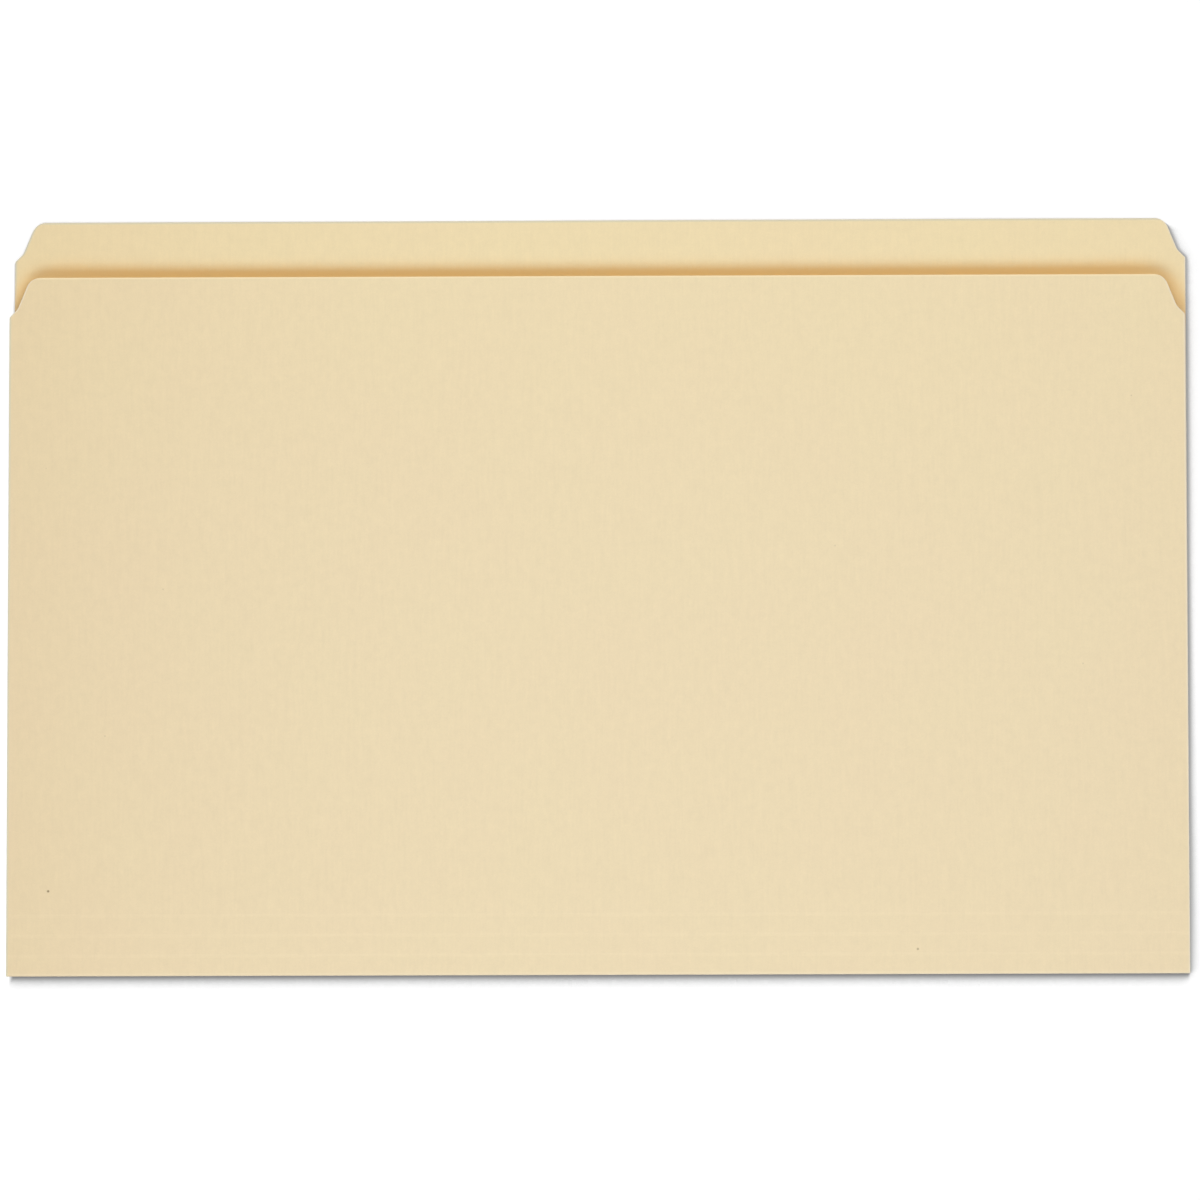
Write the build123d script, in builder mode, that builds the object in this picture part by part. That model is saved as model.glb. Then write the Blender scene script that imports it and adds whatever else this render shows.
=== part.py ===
from build123d import *
import os
from math import atan2, cos, radians, sin, tan

# A straight-cut file folder: one die-cut sheet of manila card, folded once along its bottom edge.
# The back leaf ends in a full-width tab, which stands above the front leaf.
# Beside the fold, score lines let the front leaf square out into a flat bottom for a thick stack.
# The folder lies on its back leaf, with X along the fold, +Y towards the tab and +Z up.
# The origin is on the table, under the middle of the folder.

# Driving dimensions, in millimetres and degrees
folder_width = 374.65
back_height = 241.3  # from the outside of the fold to the edge of the tab
front_height = 222.25  # from the outside of the fold to the front leaf's free edge
card = 0.28
leaf_gap = 0.10  # left between the two leaves when they are pressed shut
mouth_gap = 5.0  # how far the front leaf's free edge springs up from the back leaf
crease_clearance = 0.02  # between a crease and the edges of the panels beside it
score_count = 3
score_pitch = 6.35
score_ridge = 0.02  # how far a pressed score stands out of each face of the card
shoulder_drop = 12.7
shoulder_ledge = 2.6  # run and fall of the short 45 degree cut that meets the side edge
shoulder_slope = 68.0
crown_radius = 4.75
hollow_radius = 4.0
corner_radius = 0.8

# The fold wraps both leaves, so its outside is level with the outer face of each of them
fold_radius = card + leaf_gap / 2
fold_edge = fold_radius + crease_clearance
fold_y = fold_radius - back_height / 2

# Each score is a round bead in the thickness of the card
score_radius = card / 2 + score_ridge
score_edge = score_radius + crease_clearance

# The front leaf and its strips lie on a plane that leans back about the fold's axis
rest_angle = atan2(mouth_gap, front_height)
front_plane = Plane(
    origin=(0, fold_y, fold_radius),
    x_dir=(1, 0, 0),
    z_dir=(0, -sin(rest_angle), cos(rest_angle)),
)
front_underside = front_plane.offset(leaf_gap / 2)


def leaf_outline(plane, bottom, top):
    """Flat outline of a leaf: square at the bottom, with a cut-in shoulder at each top corner."""
    side = folder_width / 2
    ledge_top = top - shoulder_drop + shoulder_ledge
    crown = side - shoulder_ledge - (top - ledge_top) / tan(radians(shoulder_slope))
    right = [
        (side, bottom),
        (side, top - shoulder_drop),
        (side - shoulder_ledge, ledge_top),
        (crown, top),
    ]
    left = [(-x, y) for x, y in reversed(right)]
    right_radii = [corner_radius, hollow_radius, crown_radius]
    with BuildSketch(plane) as outline:
        with BuildLine():
            FilletPolyline(*right, *left, radius=right_radii + right_radii[::-1])
            Line(left[-1], right[0])
        make_face()
    return outline.sketch


def score_y(number):
    """Distance of a score's axis from the fold's axis, along the front leaf."""
    return number * score_pitch - fold_radius


def crease_plane(y, z):
    """Plane across a crease, square to its axis, at a height and distance on the front leaf."""
    return Plane(front_plane.from_local_coords((0, y, z)), z_dir=(1, 0, 0))


os.makedirs("parts", exist_ok=True)

# Back leaf, with the tab along its top edge
with BuildPart() as back_leaf:
    extrude(leaf_outline(Plane.XY, fold_y + fold_edge, back_height / 2), amount=card)
back_leaf.part.label = "back_leaf"
export_step(back_leaf.part, "parts/back_leaf.step")

# Main fold, the crease that both leaves turn on
with BuildPart(crease_plane(0, 0)) as main_fold:
    Cylinder(fold_radius, folder_width)
main_fold.part.label = "main_fold"
export_step(main_fold.part, "parts/main_fold.step")

# Expansion strips between the fold and the scores, and the score line above each strip
for number in range(1, score_count + 1):
    strip_bottom = fold_edge if number == 1 else score_y(number - 1) + score_edge
    strip_top = score_y(number) - score_edge
    with BuildPart() as expansion_strip:
        with BuildSketch(front_underside):
            with Locations((0, (strip_bottom + strip_top) / 2)):
                Rectangle(folder_width, strip_top - strip_bottom)
        extrude(amount=card)
    expansion_strip.part.label = f"expansion_strip_{number}"
    export_step(expansion_strip.part, f"parts/expansion_strip_{number}.step")

    with BuildPart(crease_plane(score_y(number), leaf_gap / 2 + card / 2)) as score_line:
        Cylinder(score_radius, folder_width)
    score_line.part.label = f"score_line_{number}"
    export_step(score_line.part, f"parts/score_line_{number}.step")

# Front leaf, from the last score to its free edge
with BuildPart() as front_leaf:
    leaf_bottom = score_y(score_count) + score_edge
    extrude(leaf_outline(front_underside, leaf_bottom, front_height - fold_radius), amount=card)
front_leaf.part.label = "front_leaf"
export_step(front_leaf.part, "parts/front_leaf.step")
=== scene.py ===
import bpy
import numpy as np
from mathutils import Matrix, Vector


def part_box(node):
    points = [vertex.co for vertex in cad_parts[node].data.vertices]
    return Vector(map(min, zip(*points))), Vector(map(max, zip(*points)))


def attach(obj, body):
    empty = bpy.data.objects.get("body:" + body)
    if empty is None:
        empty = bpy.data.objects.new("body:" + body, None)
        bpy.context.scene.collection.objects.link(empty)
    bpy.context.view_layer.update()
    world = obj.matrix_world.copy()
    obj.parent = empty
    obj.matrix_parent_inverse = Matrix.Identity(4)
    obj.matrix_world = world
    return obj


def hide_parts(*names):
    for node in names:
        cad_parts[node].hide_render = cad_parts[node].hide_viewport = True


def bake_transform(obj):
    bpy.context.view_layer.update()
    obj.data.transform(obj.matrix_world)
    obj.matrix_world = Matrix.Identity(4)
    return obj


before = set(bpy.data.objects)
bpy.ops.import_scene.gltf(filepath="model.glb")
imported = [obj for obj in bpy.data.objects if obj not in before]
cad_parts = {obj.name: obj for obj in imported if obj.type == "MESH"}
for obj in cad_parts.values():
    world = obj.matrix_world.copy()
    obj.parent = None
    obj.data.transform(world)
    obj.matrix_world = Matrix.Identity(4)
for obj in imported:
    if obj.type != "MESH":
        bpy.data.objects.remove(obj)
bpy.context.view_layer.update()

# Back leaf: the rear panel of the folded sheet, buff manila card 0.28 mm thick.
# It is die-cut with a full-width tab along its top edge and a cut-in shoulder at each top corner,
# and it lies on the table and carries the rest of the folder.
mm = 0.001
back_low, back_high = np.array(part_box("back_leaf")) / mm
half_width = back_high[0]
card = back_high[2] - back_low[2]
inner_depth = 0.05  # from the fold's axis to the inner face of each leaf
outer_depth = inner_depth + card
fold_y = outer_depth - back_high[1]
fold_z = outer_depth
crease_reach = 0.6  # how far a crease's own piece reaches to each side of its axis
back_top = back_high[1] - fold_y
back_drift = 1.45  # how far the tab's edge stands to the right of square
back_drop = 0.25  # how far the tab's edge stands below square at its right end
left_drop = 0.3  # how much more it does at its left end
front_height = 222.25
front_top = front_height - outer_depth
shoulder_drop = 12.7
shoulder_ledge = 2.6
shoulder_slope = np.radians(68)
corner_radius = 0.8
hollow_radius = 4.0
crown_radius = 4.75
straight_side = 4.8  # stretch of the side edge below a shoulder that is drawn with it


def leaf_edge(top):
    """Distances along the sheet and half widths up a leaf's right-hand edge, for its cut-in shoulder.
    Straight runs join five corner points, and an arc tangent to both runs rounds each inner corner."""
    ledge_top = top - shoulder_drop + shoulder_ledge
    crown = half_width - shoulder_ledge - (top - ledge_top) / np.tan(shoulder_slope)
    corners = np.array([
        (half_width, top - shoulder_drop - straight_side),
        (half_width, top - shoulder_drop),
        (half_width - shoulder_ledge, ledge_top),
        (crown, top),
        (0, top),
    ])
    run = [corners[:1]]
    for corner, radius, steps in ((1, corner_radius, 8), (2, hollow_radius, 12), (3, crown_radius, 26)):
        to_last = corners[corner - 1] - corners[corner]
        to_next = corners[corner + 1] - corners[corner]
        to_last = to_last / np.linalg.norm(to_last)
        to_next = to_next / np.linalg.norm(to_next)
        half_angle = np.arccos(to_last @ to_next) / 2
        middle = (to_last + to_next) / np.linalg.norm(to_last + to_next)
        centre = corners[corner] + middle * radius / np.sin(half_angle)
        spoke_a = corners[corner] + to_last * radius / np.tan(half_angle) - centre
        spoke_b = corners[corner] + to_next * radius / np.tan(half_angle) - centre
        sweep = np.pi - 2 * half_angle
        share = np.linspace(0, 1, steps)[:, None]
        turned = np.sin((1 - share) * sweep) * spoke_a + np.sin(share * sweep) * spoke_b
        run.append(centre + turned / np.sin(sweep))
    path = np.concatenate(run)
    return path[:, 1], path[:, 0]


def across(widths):
    """Sideways positions of a panel's columns, one row for each half width in mm.
    Nine columns stand at fixed distances in from each edge, and the others share the space between."""
    rim = np.array([0, 0.1, 0.3, 0.8, 2.0, 3.5, 5.0, 6.5, 8.0])
    inside = np.linspace(-1, 1, 93)[1:-1]
    widths = np.asarray(widths, float)[:, None]
    return np.concatenate([rim - widths, inside * (widths - rim[-1]), widths - rim[::-1]], axis=1)


def cockle(x, along):
    """Slow swell of the card in mm: two crossing sine waves, raised so that they are never negative.
    It grows from nothing beside the creases, and both leaves share it, so they nest when pressed shut."""
    height = 0.16
    flat_run = 30
    growing_run = 90
    grow = np.clip((along - flat_run) / growing_run, 0, 1)
    grow = grow * grow * (3 - 2 * grow)
    wave = 1 + 0.6 * np.sin(x / 43 + 0.8 * np.sin(along / 71)) + 0.4 * np.sin(x / 19 - along / 38 + 1.1)
    return height * grow * wave


def softened(to_edge):
    """How far in mm each face of the card falls away at a cut edge, where the die has pressed it."""
    pressed_depth = 0.05
    pressed_width = 0.1
    return pressed_depth * np.clip(1 - to_edge / pressed_width, 0, 1)


def paint(panel, name, upper, lower=None):
    """Keeps a named value on each point of a panel: those of its upper face, then those of its lower one,
    which are the same unless they are given."""
    lower = upper if lower is None else lower
    values = np.concatenate([np.ravel(upper), np.ravel(lower)]).astype(np.float32)
    panel.data.attributes.new(name, "FLOAT", "POINT").data.foreach_set("value", values)


def card_panel(name, upper, lower, to_edge, to_shaded_edge, material):
    """Closed panel between two grids of points in mm, an upper and a lower face of the same rows and columns.
    The rim joins their outlines. Points keep how near they are to a cut edge and to an edge painted in shade,
    and how much painted shade darkens them towards the sides, each fading with distance, and rim faces are
    marked."""
    sharp_angle = np.radians(80)
    edge_width = 0.8
    edge_shade_width, edge_shade_fade = 0.8, 0.5
    left_reach, right_reach = 75, 60
    right_shade = 0.2
    rows, columns = to_edge.shape
    count = rows * columns
    index = np.arange(count).reshape(rows, columns)
    quads = np.stack([index[:-1, :-1], index[:-1, 1:], index[1:, 1:], index[1:, :-1]], axis=-1).reshape(-1, 4)
    loop = np.concatenate([index[0, :-1], index[:-1, -1], index[-1, :0:-1], index[:0:-1, 0]])
    after = np.roll(loop, -1)
    rim = np.stack([loop, loop + count, after + count, after], axis=-1)
    faces = np.concatenate([quads, quads[:, ::-1] + count, rim])
    points = np.concatenate([upper.reshape(-1, 3), lower.reshape(-1, 3)]) * mm
    mesh = bpy.data.meshes.new(name)
    mesh.from_pydata(points.tolist(), [], faces.tolist())
    cut = np.repeat([0.0, 1.0], [2 * len(quads), len(rim)]).astype(np.float32)
    mesh.attributes.new("cut_face", "FLOAT", "FACE").data.foreach_set("value", cut)
    mesh.polygons.foreach_set("use_smooth", np.ones(len(faces), bool))
    mesh.set_sharp_from_angle(angle=sharp_angle)
    mesh.materials.append(material)
    mesh.update()
    panel = bpy.data.objects.new(name, mesh)
    bpy.context.scene.collection.objects.link(panel)
    from_left = upper[..., 0] + half_width
    from_right = half_width - upper[..., 0]
    paint(panel, "near_edge", np.clip(1 - to_edge / edge_width, 0, 1))
    # A thin line of painted shade runs along the edges that this marks.
    paint(panel, "edge_shade", np.clip((edge_shade_width - to_shaded_edge) / edge_shade_fade, 0, 1))
    # Painted shade: the card darkens and warms towards the sides, most at the left and a little at the right.
    paint(panel, "side_shade", np.exp(-from_left / left_reach) + right_shade * np.exp(-from_right / right_reach))
    return panel


def put(tree, kind, inputs=(), **settings):
    """New shader node of a kind, with its settings, and values or links for its numbered or named inputs."""
    node = tree.nodes.new("ShaderNode" + kind)
    for key, value in settings.items():
        setattr(node, key, value)
    for key, value in dict(inputs).items():
        if isinstance(value, bpy.types.NodeSocket):
            tree.links.new(value, node.inputs[key])
        else:
            node.inputs[key].default_value = value
    return node


def ramp(tree, value, low, high, start=0.0, end=1.0, **settings):
    """Value carried from the range between low and high to the one between start and end, and held there."""
    return put(tree, "MapRange", {0: value, 1: low, 2: high, 3: start, 4: end}, **settings).outputs[0]


def maths(tree, operation, first, second):
    """Result of a sum on two values."""
    return put(tree, "Math", {0: first, 1: second}, operation=operation).outputs[0]


def mixed(tree, share, first, second, blend_type="MIX"):
    """Colour that goes from a first to a second, or to their product, by a share."""
    node = put(tree, "Mix", {0: share, 6: first, 7: second}, data_type="RGBA", blend_type=blend_type)
    return node.outputs[2]


def painted(tree, name):
    """Value that paint has kept on a panel's points."""
    return put(tree, "Attribute", attribute_name=name).outputs["Fac"]


# Look of the pulp in the card: soft clouds, close mottling, a grain that runs up the sheet and fine fibres.
noise_range = (0.3, 0.7)  # most of a noise's values lie between these
pulp = bpy.data.node_groups.new("manila_pulp", "ShaderNodeTree")
pulp.interface.new_socket("Place", in_out="INPUT", socket_type="NodeSocketVector")
pulp.interface.new_socket("Buff", in_out="INPUT", socket_type="NodeSocketColor")
pulp.interface.new_socket("Rosy Buff", in_out="INPUT", socket_type="NodeSocketColor")
pulp.interface.new_socket("Colour", in_out="OUTPUT", socket_type="NodeSocketColor")
pulp.interface.new_socket("Height", in_out="OUTPUT", socket_type="NodeSocketFloat")
pulp_in = pulp.nodes.new("NodeGroupInput")
pulp_out = pulp.nodes.new("NodeGroupOutput")
place = pulp_in.outputs["Place"]
clouds = put(pulp, "TexNoise", {"Vector": place, "Scale": 16.0, "Detail": 6.0, "Roughness": 0.62}).outputs[0]
mottle = put(pulp, "TexNoise", {"Vector": place, "Scale": 330.0, "Detail": 4.0, "Roughness": 0.6}).outputs[0]
upright = put(pulp, "Mapping", {"Vector": place, "Scale": (1.0, 0.09, 1.0)}).outputs[0]
grain = put(pulp, "TexNoise", {"Vector": upright, "Scale": 1150.0, "Detail": 2.0}).outputs[0]
fibre = put(pulp, "TexNoise", {"Vector": place, "Scale": 1900.0, "Detail": 3.0, "Distortion": 0.8}).outputs[0]
tone = ramp(pulp, mottle, *noise_range, 0.984, 1.016)
tone = maths(pulp, "MULTIPLY", tone, ramp(pulp, grain, *noise_range, 0.991, 1.009))
tone = maths(pulp, "MULTIPLY", tone, ramp(pulp, fibre, *noise_range, 0.984, 1.016))
hue = mixed(pulp, clouds, pulp_in.outputs["Buff"], pulp_in.outputs["Rosy Buff"])
flecked = put(pulp, "VectorMath", {0: hue, 3: tone}, operation="SCALE").outputs[0]
tooth = maths(pulp, "MULTIPLY", maths(pulp, "ADD", fibre, mottle), 0.5)
pulp.links.new(flecked, pulp_out.inputs["Colour"])
pulp.links.new(tooth, pulp_out.inputs["Height"])

# Specks of bark and dark fibre that stay in the pulp: one place in a few has one, and their sizes differ.
smallest_speck, largest_speck = 0.008, 0.026
bare_share = 0.72
specks = bpy.data.node_groups.new("pulp_specks", "ShaderNodeTree")
specks.interface.new_socket("Place", in_out="INPUT", socket_type="NodeSocketVector")
specks.interface.new_socket("Mask", in_out="OUTPUT", socket_type="NodeSocketFloat")
specks_in = specks.nodes.new("NodeGroupInput")
specks_out = specks.nodes.new("NodeGroupOutput")
cells = put(specks, "TexVoronoi", {"Vector": specks_in.outputs[0], "Scale": 70.0})
lot = put(specks, "SeparateXYZ", {0: cells.outputs["Color"]})
chosen = maths(specks, "GREATER_THAN", lot.outputs[0], bare_share)
size = ramp(specks, lot.outputs[1], 0.0, 1.0, smallest_speck, largest_speck)
spot = ramp(specks, cells.outputs["Distance"], size, 0.0)
specks.links.new(maths(specks, "MULTIPLY", chosen, spot), specks_out.inputs[0])

buff = (0.833, 0.711, 0.464, 1)
rosy_buff = (0.838, 0.690, 0.466, 1)


def card_material(name, shift, buff, rosy, roughness, finish):
    """Manila card: pulp colour with specks, painted shade towards the sides and along the left and tab edges,
    lighter and yellower where a piece marks it, paler where it is cut, with a painted highlight beside cut
    edges, and matt with a faint tooth.
    finish adds what only that piece has to the colour. shift moves the pulp, so that leaves differ."""
    side_shade_tint = (0.94, 0.912, 0.882, 1)
    lighter_yellower_tint = (1.035, 1.03, 0.95, 1)
    dark_speck = (0.22, 0.13, 0.06, 1)
    pale_edge_highlight = (0.92, 0.83, 0.69, 1)
    edge_shade_colour = (0.68, 0.63, 0.455, 1)
    bare_pulp = (0.86, 0.76, 0.56, 1)
    speck_strength = 0.45
    edge_strength = 0.85
    edge_shade_strength = 0.9
    bare_strength = 0.8
    roughness_spread = 0.05
    tooth_depth = 0.04 * mm
    material = bpy.data.materials.new(name)
    material.use_nodes = True
    tree = material.node_tree
    shader = tree.nodes["Principled BSDF"]
    shader.inputs["Specular IOR Level"].default_value = 0.25
    at = tree.nodes.new("ShaderNodeTexCoord").outputs["Object"]
    moved = put(tree, "Mapping", {"Vector": at, "Location": shift}).outputs[0]
    sheet = put(tree, "Group", node_tree=pulp)
    tree.links.new(moved, sheet.inputs["Place"])
    sheet.inputs["Buff"].default_value = buff
    sheet.inputs["Rosy Buff"].default_value = rosy
    speck = put(tree, "Group", node_tree=specks)
    tree.links.new(moved, speck.inputs[0])
    # Painted shade towards the sides.
    colour = mixed(tree, painted(tree, "side_shade"), sheet.outputs["Colour"], side_shade_tint, "MULTIPLY")
    # Lighter and yellower where the points carry that value: on the bared tab and towards the front leaf's
    # top.
    colour = mixed(tree, painted(tree, "lighter_yellower"), colour, lighter_yellower_tint, "MULTIPLY")
    colour = mixed(tree, maths(tree, "MULTIPLY", speck.outputs[0], speck_strength), colour, dark_speck)
    # Beside each cut edge the card is painted paler: partly the paler card there, partly a painted highlight.
    near = maths(tree, "POWER", painted(tree, "near_edge"), 2.0)
    colour = mixed(tree, maths(tree, "MULTIPLY", near, edge_strength), colour, pale_edge_highlight)
    # Painted shade: a dark line along the left edges and the tab's top edge.
    colour = mixed(tree, maths(tree, "MULTIPLY", painted(tree, "edge_shade"), edge_shade_strength), colour, edge_shade_colour)
    colour = mixed(tree, maths(tree, "MULTIPLY", painted(tree, "cut_face"), bare_strength), colour, bare_pulp)
    tree.links.new(finish(tree, colour), shader.inputs["Base Color"])
    height = sheet.outputs["Height"]
    matt = ramp(tree, height, *noise_range, roughness - roughness_spread, roughness + roughness_spread)
    tree.links.new(matt, shader.inputs["Roughness"])
    bump = put(tree, "Bump", {"Strength": 0.25, "Distance": tooth_depth, "Height": height})
    tree.links.new(bump.outputs[0], shader.inputs["Normal"])
    return material


def painted_foot_shade(tree, colour):
    """Warm shade painted along the foot of the tab, where the front leaf's edge stands over the card and
    hides a slanting share of the sky. Towards the tab's ends the painted shade is wider and weaker."""
    warm_shade = (0.865, 0.54, 0.198, 1)
    slant = (-0.12, -0.70, 0.70)
    sky_reach = 60 * mm
    first_shaded, all_shaded = 0.575, 0.33  # shares of open sky
    flank_hides = 0.17
    flank_strength = 0.6
    light_side = put(tree, "CombineXYZ", dict(enumerate(slant))).outputs[0]
    open_sky = put(tree, "AmbientOcclusion", {"Normal": light_side, "Distance": sky_reach}, samples=32)
    flank = painted(tree, "flank")
    sky = maths(tree, "SUBTRACT", open_sky.outputs["AO"], maths(tree, "MULTIPLY", flank, flank_hides))
    foot_shade = ramp(tree, sky, first_shaded, all_shaded, interpolation_type="SMOOTHSTEP")
    foot_shade = maths(tree, "MULTIPLY", foot_shade, ramp(tree, flank, 0.0, 1.0, 1.0, flank_strength))
    foot_shade = maths(tree, "MULTIPLY", foot_shade, painted(tree, "lighter_yellower"))
    return mixed(tree, foot_shade, colour, warm_shade)


def out_of_square(x, along):
    """Places of the back leaf's points in mm. The sheet is folded a hair out of square, so the leaf drifts to
    the right and down in proportion to the distance from the fold, and its left side down the most."""
    share = along / back_top
    left = (half_width - x) / half_width / 2
    return x + back_drift * share, fold_y + along - (back_drop + left_drop * left) * share


def uncovered(x, along):
    """Distance in mm of a place on the back leaf from the front leaf's outline, negative if it is covered."""
    front_along, front_width = leaf_edge(front_top)
    return np.maximum(np.abs(x) - np.interp(along, front_along, front_width), along - front_top)


# The back leaf's finish paints warm shade along the foot of the tab.
back_card = card_material("manila_back", (0.31, 0.17, 0.05), buff, rosy_buff, 0.78, painted_foot_shade)
edge_along, edge_width = leaf_edge(back_top)
under_front = np.append(np.linspace(crease_reach, front_top - 3, 78), front_top - np.array([2.0, 1.0, 0.0]))
along = np.append(under_front, edge_along)
widths = np.append(np.full(len(under_front), half_width), edge_width)
x = across(widths)
rows = np.broadcast_to(along[:, None], x.shape)
to_edge = np.minimum(widths[:, None] - np.abs(x), back_top - rows)
# Distance to the left edge and to the tab's top edge, along which shade is painted.
to_shaded_edge = np.minimum(widths[:, None] + x, back_top - rows)
swell = cockle(x, rows)
askew_x, askew_y = out_of_square(x, rows)
upper = np.stack([askew_x, askew_y, fold_z - inner_depth - softened(to_edge) + swell], axis=-1)
lower = np.stack([askew_x, askew_y, fold_z - outer_depth + softened(to_edge) + swell], axis=-1)
back_leaf = card_panel("back_leaf_card", upper, lower, to_edge, to_shaded_edge, back_card)
bare_fade = 2  # how far the lighter stretch reaches in under the front leaf's outline
lighter_below, lighter_fade = 16, 3  # where the lighter stretch starts below the front leaf's edge
bared = np.clip(1 + uncovered(askew_x, askew_y - fold_y) / bare_fade, 0, 1)
paint(back_leaf, "lighter_yellower", bared * np.clip((rows - front_top + lighter_below) / lighter_fade, 0, 1))
paint(back_leaf, "flank", np.abs(x / half_width) ** 10)
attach(back_leaf, "back_leaf")
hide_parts("back_leaf")

# Main fold: the half-round wrap where the one sheet turns over, and the two leaves' only joint.
# The card is creased on a score here, so it is a little burnished, and it bends from leaf to leaf.
mouth_gap = 5.0
rest_angle = np.arctan2(mouth_gap, front_height)
crease_buff = (0.862, 0.730, 0.492, 1)
crease_rosy = (0.845, 0.710, 0.480, 1)
bend_paleness, paler_right = 0.45, 0.2
fold_groove_shade = 0.4


def creased(tree, colour):
    """Colour of bent card: paler on the outside of the bend, and painted shade darkens the groove on its
    inside.
    """
    pale_bend_colour = (0.93, 0.87, 0.74, 1)
    groove_shade = (0.62, 0.49, 0.29, 1)
    colour = mixed(tree, painted(tree, "bent"), colour, pale_bend_colour)
    return mixed(tree, painted(tree, "valley"), colour, groove_shade)


def fold_wrap(radius, turn, straight):
    """One face of the wrap in section, in mm from the fold's axis: a run in along the back leaf, a half
    circle of that radius round the axis, and a run out along the front leaf, leaning by the rest angle."""
    run = np.stack([straight, np.full(len(straight), -radius)], axis=-1)
    arc = radius * np.stack([-np.cos(turn), np.sin(turn)], axis=-1)
    out = np.stack([straight[::-1], np.full(len(straight), radius)], axis=-1)
    section = np.concatenate([run, arc, out])
    lean = rest_angle * np.concatenate([np.zeros(len(straight)), turn / np.pi + 0.5, np.ones(len(straight))])
    return np.stack([
        section[:, 0] * np.cos(lean) - section[:, 1] * np.sin(lean),
        section[:, 0] * np.sin(lean) + section[:, 1] * np.cos(lean),
    ], axis=-1)


crease_card = card_material("manila_crease", (0.0, 0.0, 0.0), crease_buff, crease_rosy, 0.66, creased)
turn = np.linspace(-np.pi / 2, np.pi / 2, 19)
straight = np.linspace(crease_reach, 0, 4)[:-1]
outside = fold_wrap(outer_depth, turn, straight)
inside = fold_wrap(inner_depth, turn, straight)
x = across(np.full(len(outside), half_width))
to_edge = half_width - np.abs(x)
sink = softened(to_edge)[..., None] / card
outside = np.broadcast_to(outside[:, None, :], x.shape + (2,))
inside = np.broadcast_to(inside[:, None, :], x.shape + (2,))
upper = np.concatenate([x[..., None], outside + (inside - outside) * sink + (fold_y, fold_z)], axis=-1)
lower = np.concatenate([x[..., None], inside + (outside - inside) * sink + (fold_y, fold_z)], axis=-1)
main_fold = card_panel("main_fold_wrap", upper, lower, to_edge, half_width + x, crease_card)
flat = np.zeros(len(straight))
bend = np.concatenate([flat, np.cos(turn), flat])[:, None]
groove = np.concatenate([1 - straight / crease_reach, np.ones(len(turn)), 1 - straight[::-1] / crease_reach])
paint(main_fold, "bent", bend * (bend_paleness + paler_right * x / half_width), np.zeros(x.shape))
# Painted shade along the groove inside the fold.
paint(main_fold, "valley", np.zeros(x.shape), np.broadcast_to(fold_groove_shade * groove[:, None], x.shape))
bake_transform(main_fold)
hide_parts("main_fold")

# Expansion strips and score lines: three narrow panels of the front leaf beside the fold.
# A rule has pressed a score into the card above each one, and the card bends there.
score_pitch = 6.35
score_ridge = 0.02
score_at = score_pitch * np.arange(1, 4) - fold_z
score_groove_shade = 0.2
# The scores' card is painted a shade paler than the leaf's: a painted highlight along each score line.
score_highlight_buff = (0.844, 0.720, 0.471, 1)
score_highlight_rosy = (0.849, 0.699, 0.473, 1)
front_drift = 0.35  # how far the front leaf's free edge stands to the right of square

# Darker bits of bark, a few of which lie at the surface of the front leaf:
# sideways place, distance up the leaf, radius and darkness.
bark = [
    (101.25, 7.6, 0.5, 0.55),
    (-174.1, 26.6, 0.52, 0.9),
    (-156.3, 75.7, 0.36, 0.22),
    (154.1, 97.8, 0.36, 0.22),
    (-138.0, 122.3, 0.36, 0.2),
    (75.6, 135.5, 0.36, 0.2),
    (170.1, 183.1, 0.36, 0.22),
]


def on_front(x, along, depth):
    """Points in mm on the leaning front leaf, from the distance along it and the height above the plane that
    goes through the fold's axis. The leaf drifts to the right as the back leaf does, but less."""
    y = fold_y + along * np.cos(rest_angle) - depth * np.sin(rest_angle)
    z = fold_z + along * np.sin(rest_angle) + depth * np.cos(rest_angle)
    return np.stack([x + front_drift * along / front_top, y, z], axis=-1)


def barked(tree, colour):
    """Front leaf's colour, with bits of bark as round spots and a painted highlight, a fine bright line,
    along its free edge.
    """
    bark_brown = (0.18, 0.12, 0.05, 1)
    lip_highlight_colour = (0.99, 0.78, 0.42, 1)
    lip_highlight_strength = 0.9
    dark_core = 0.25
    at = tree.nodes.new("ShaderNodeTexCoord").outputs["Object"]
    for x, along, radius, darkness in bark:
        middle = (on_front(x, along, outer_depth + cockle(x, along)) * mm).tolist()
        away = put(tree, "VectorMath", {0: at, 1: middle}, operation="DISTANCE").outputs["Value"]
        bit = ramp(tree, away, radius * mm, dark_core * radius * mm, 0.0, darkness)
        colour = mixed(tree, bit, colour, bark_brown)
    return mixed(tree, maths(tree, "MULTIPLY", painted(tree, "lip_highlight"), lip_highlight_strength), colour, lip_highlight_colour)


def front_panel(name, along, widths, material, top=np.inf, ridge=0.0):
    """A panel of the front leaf, from its rows' distances along the leaf and half widths.
    top is the leaf's free edge, if the panel has it, and ridge lifts both faces of the rows along a score.
    The leaf is lighter and yellower towards its top, and a highlight is painted along its free edge."""
    lighter_strength, lighter_reach = 0.5, 60
    lip_highlight_width = 0.6
    x = across(widths)
    rows = np.broadcast_to(along[:, None], x.shape)
    to_edge = np.minimum(widths[:, None] - np.abs(x), top - rows)
    swell = cockle(x, rows)
    lift = np.broadcast_to(np.reshape(ridge, (-1, 1)), x.shape) - softened(to_edge)
    upper = on_front(x, rows, outer_depth + lift + swell)
    lower = on_front(x, rows, inner_depth - lift + swell)
    panel = card_panel(name, upper, lower, to_edge, half_width + x, material)
    paint(panel, "lighter_yellower", lighter_strength * np.exp((rows - front_top) / lighter_reach))
    # A highlight is painted along the free edge.
    paint(panel, "lip_highlight", np.clip(1 - (front_top - rows) / lip_highlight_width, 0, 1))
    return panel


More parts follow.
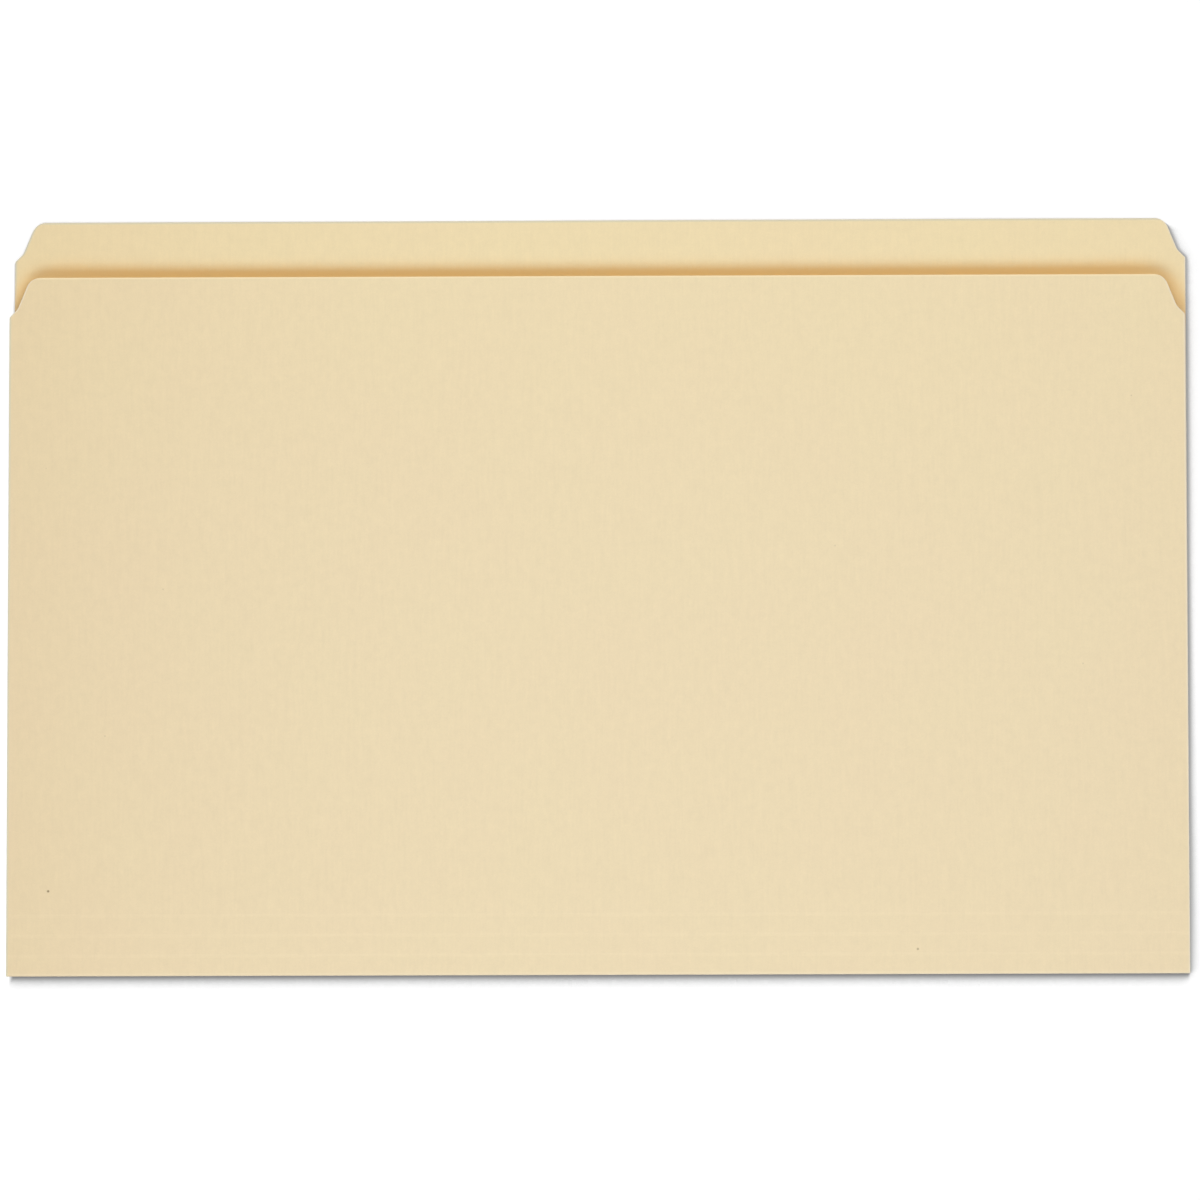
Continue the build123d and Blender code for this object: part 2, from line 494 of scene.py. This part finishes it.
front_card = card_material("manila_front", (0.0, 0.0, 0.0), buff, rosy_buff, 0.78, barked)
score_card = card_material("manila_score", (0.0, 0.0, 0.0), score_highlight_buff, score_highlight_rosy, 0.72, creased)
bodies = ["expansion_strip_1", "expansion_strip_2", "expansion_strip_3", "front_leaf"]
strip_starts = np.concatenate([[0], score_at[:-1]]) + crease_reach
strip_rows = 5
reach = np.linspace(-crease_reach, crease_reach, 15)
bead = np.cos(np.pi * reach / crease_reach / 2) ** 2
full_width = np.full(len(reach), half_width)
for number, (strip_start, middle) in enumerate(zip(strip_starts, score_at), 1):
    below, above = bodies[number - 1:number + 1]
    along = np.linspace(strip_start, middle - crease_reach, strip_rows)
    strip = front_panel(f"strip_{number}_card", along, full_width[:strip_rows], front_card)
    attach(strip, below)
    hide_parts(f"expansion_strip_{number}")

    ridge = score_ridge * bead
    score = front_panel(f"score_{number}_crease", middle + reach, full_width, score_card, ridge=ridge)
    # Painted shade along the groove on the score's inner face.
    valley = np.repeat(score_groove_shade * bead, across([half_width]).size)
    paint(score, "valley", np.zeros(valley.shape), valley)
    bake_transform(score)
    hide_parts(f"score_line_{number}")

# Front leaf: the front panel, from the last score up to its free edge.
# It is cut like the back leaf but ends 19 mm lower, and it springs a little open at the mouth.
plain_rows = 73
edge_along, edge_width = leaf_edge(front_top)
plain = np.linspace(score_at[-1] + crease_reach, edge_along[0], plain_rows + 1)[:-1]
along = np.concatenate([plain, edge_along])
widths = np.concatenate([np.full(plain_rows, half_width), edge_width])
front_leaf = front_panel("front_leaf_card", along, widths, front_card, top=front_top)
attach(front_leaf, "front_leaf")
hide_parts("front_leaf")

# Floor: a plain white table top. It is matt, and shows white to the camera apart from the folder's shadow,
# which lies below the fold and along the right-hand edges, a few millimetres wide.
# A second layer just under the first keeps what is below the table out of the shade.
floor_reach = 6.0
floor_drop = 0.1 * mm
layer_gap = 0.05 * mm
floor_grey = 0.6
near_glow, far_glow = 0.44, 0.95
near_reach, far_reach = 0.5, 2.5
fold_darkest, side_darkest = 0.26, 0.4
fold_reach, side_reach = 5 * mm, 4 * mm
fold_steepness = 3.3
low_side_steepness, high_side_steepness = 1.4, 6.0
low_side, high_side = -60 * mm, 105 * mm
clear_sky = 0.49
crown_inset = 6.7 * mm
floor_mesh = bpy.data.meshes.new("floor")
side = np.array([-1.0, 1.0]) * floor_reach
corners = np.stack([side[[0, 1, 1, 0]], side[[0, 0, 1, 1]], np.full(4, -floor_drop)], axis=-1)
layers = np.concatenate([corners, corners - (0, 0, layer_gap)])
floor_mesh.from_pydata(layers.tolist(), [], [(0, 1, 2, 3), (4, 5, 6, 7)])
floor = bpy.data.objects.new("floor", floor_mesh)
bpy.context.scene.collection.objects.link(floor)
floor_white = bpy.data.materials.new("floor_white")
floor_white.use_nodes = True
tree = floor_white.node_tree
shader = tree.nodes["Principled BSDF"]
shader.inputs["Roughness"].default_value = 1.0
shader.inputs["Specular IOR Level"].default_value = 0.0
shader.inputs["Emission Color"].default_value = (1, 1, 1, 1)
at = tree.nodes.new("ShaderNodeTexCoord").outputs["Object"]
apart = put(tree, "SeparateXYZ", {0: at}).outputs


def seen(tree):
    """One for rays that show the white background: from the camera, a reflection or glass."""
    path = tree.nodes.new("ShaderNodeLightPath").outputs
    either = maths(tree, "MAXIMUM", path["Is Camera Ray"], path["Is Glossy Ray"])
    return maths(tree, "MAXIMUM", either, path["Is Transmission Ray"])


# Beside the right-hand edges the floor looks left for the card that shades it, and elsewhere towards the tab.
tab_edge = back_high[1]
cut_in = ramp(tree, apart["Y"], (tab_edge - shoulder_drop) * mm, tab_edge * mm, 0.0, crown_inset)
outward = maths(tree, "ADD", apart["X"], cut_in)
right = ramp(tree, outward, (half_width - 0.6) * mm, (half_width + 0.2) * mm)
under_crown = ramp(tree, apart["Y"], (tab_edge - 0.4) * mm, (tab_edge - 4.0) * mm)
right = maths(tree, "MULTIPLY", right, under_crown)
left = ramp(tree, apart["X"], (2.6 - half_width) * mm, (0.3 - half_width) * mm, 0.0, 1.2)
leftward = maths(tree, "MULTIPLY", right, -1.0)
below_fold = ramp(tree, apart["Y"], -tab_edge * mm, (-tab_edge - 1.0) * mm)
tabward = maths(tree, "MAXIMUM", maths(tree, "SUBTRACT", 1.0, right), below_fold)
aim = put(tree, "CombineXYZ", {0: leftward, 1: tabward, 2: 0.1}).outputs[0]
aim = put(tree, "VectorMath", {0: aim}, operation="NORMALIZE").outputs[0]
sky_reach = ramp(tree, right, 0.0, 1.0, fold_reach, side_reach)
sky = put(tree, "AmbientOcclusion", {"Normal": aim, "Distance": sky_reach}, samples=32).outputs["AO"]
sky = ramp(tree, sky, 0.0, clear_sky)
up_the_side = ramp(tree, apart["Y"], low_side, high_side, low_side_steepness, high_side_steepness)
steepness = put(tree, "Mix", {0: right, 2: fold_steepness, 3: up_the_side}).outputs[0]
darkest = ramp(tree, right, 0.0, 1.0, fold_darkest, side_darkest)
clear = ramp(tree, maths(tree, "POWER", sky, steepness), 0.0, 1.0, darkest)
clear = maths(tree, "MAXIMUM", clear, left)
grey = maths(tree, "MULTIPLY", clear, floor_grey)
white = put(tree, "CombineColor", {0: grey, 1: grey, 2: grey}).outputs[0]
tree.links.new(white, shader.inputs["Base Color"])
away = put(tree, "VectorMath", {0: at}, operation="LENGTH").outputs["Value"]
glow = maths(tree, "MULTIPLY", clear, ramp(tree, away, near_reach, far_reach, near_glow, far_glow))
tree.links.new(maths(tree, "MULTIPLY", seen(tree), glow), shader.inputs["Emission Strength"])
floor_mesh.materials.append(floor_white)

# Light: a long soft box low on the fold's side, and a wide one overhead.
# The room round them is an even white, which lights the folder a little and shows as the background.
room_light = 0.2
world = bpy.data.worlds.new("white_room")
bpy.context.scene.world = world
world.use_nodes = True
tree = world.node_tree
tree.nodes["Background"].inputs["Color"].default_value = (1, 1, 1, 1)
room = ramp(tree, seen(tree), 0.0, 1.0, room_light, 1.0)
tree.links.new(room, tree.nodes["Background"].inputs["Strength"])


def soft_box(name, place, size, power):
    """Rectangular lamp at a place in metres, facing the middle of the folder, with its long side along X."""
    lamp = bpy.data.lights.new(name, "AREA")
    lamp.shape = "RECTANGLE"
    lamp.size, lamp.size_y = size
    lamp.energy = power
    box = bpy.data.objects.new(name, lamp)
    back = np.array(place) / np.linalg.norm(place)
    sideways = np.cross((0.0, 1.0, 0.0), back)
    sideways = sideways / np.linalg.norm(sideways)
    turned = np.eye(4)
    turned[:3, :3] = np.stack([sideways, np.cross(back, sideways), back], axis=-1)
    turned[:3, 3] = place
    box.matrix_world = Matrix(turned.tolist())
    bpy.context.scene.collection.objects.link(box)


soft_box("key_box", (-0.25, -0.86, 1.23), (1.2, 0.6), 9.15)
soft_box("top_box", (0.15, 0.45, 1.6), (1.8, 1.2), 18.45)

# Camera: almost straight above the folder, leaning to the fold's side, with a long lens.
# It is turned by a hair, so the fold isn't quite level in the picture.
lean, sideways, roll = np.radians([4.142, 0.250, -0.165])
target = np.array([1.04, -1.674, 0.0]) * mm
distance = 1.35
back = np.array([np.sin(sideways), -np.sin(lean), 0.0])
back[2] = np.sqrt(1 - back @ back)
level = np.cross((0.0, 1.0, 0.0), back)
level = level / np.linalg.norm(level)
upward = np.cross(back, level)
turned = np.eye(4)
turned[:3, 0] = np.cos(roll) * level + np.sin(roll) * upward
turned[:3, 1] = np.cos(roll) * upward - np.sin(roll) * level
turned[:3, 2] = back
turned[:3, 3] = target + distance * back
lens = bpy.data.cameras.new("camera")
lens.sensor_width = 36
lens.lens = 127.16
lens.clip_end = 50
camera = bpy.data.objects.new("camera", lens)
camera.matrix_world = Matrix(turned.tolist())
bpy.context.scene.collection.objects.link(camera)
bpy.context.scene.camera = camera
bpy.context.scene.view_settings.view_transform = "Standard"

bpy.context.view_layer.update()
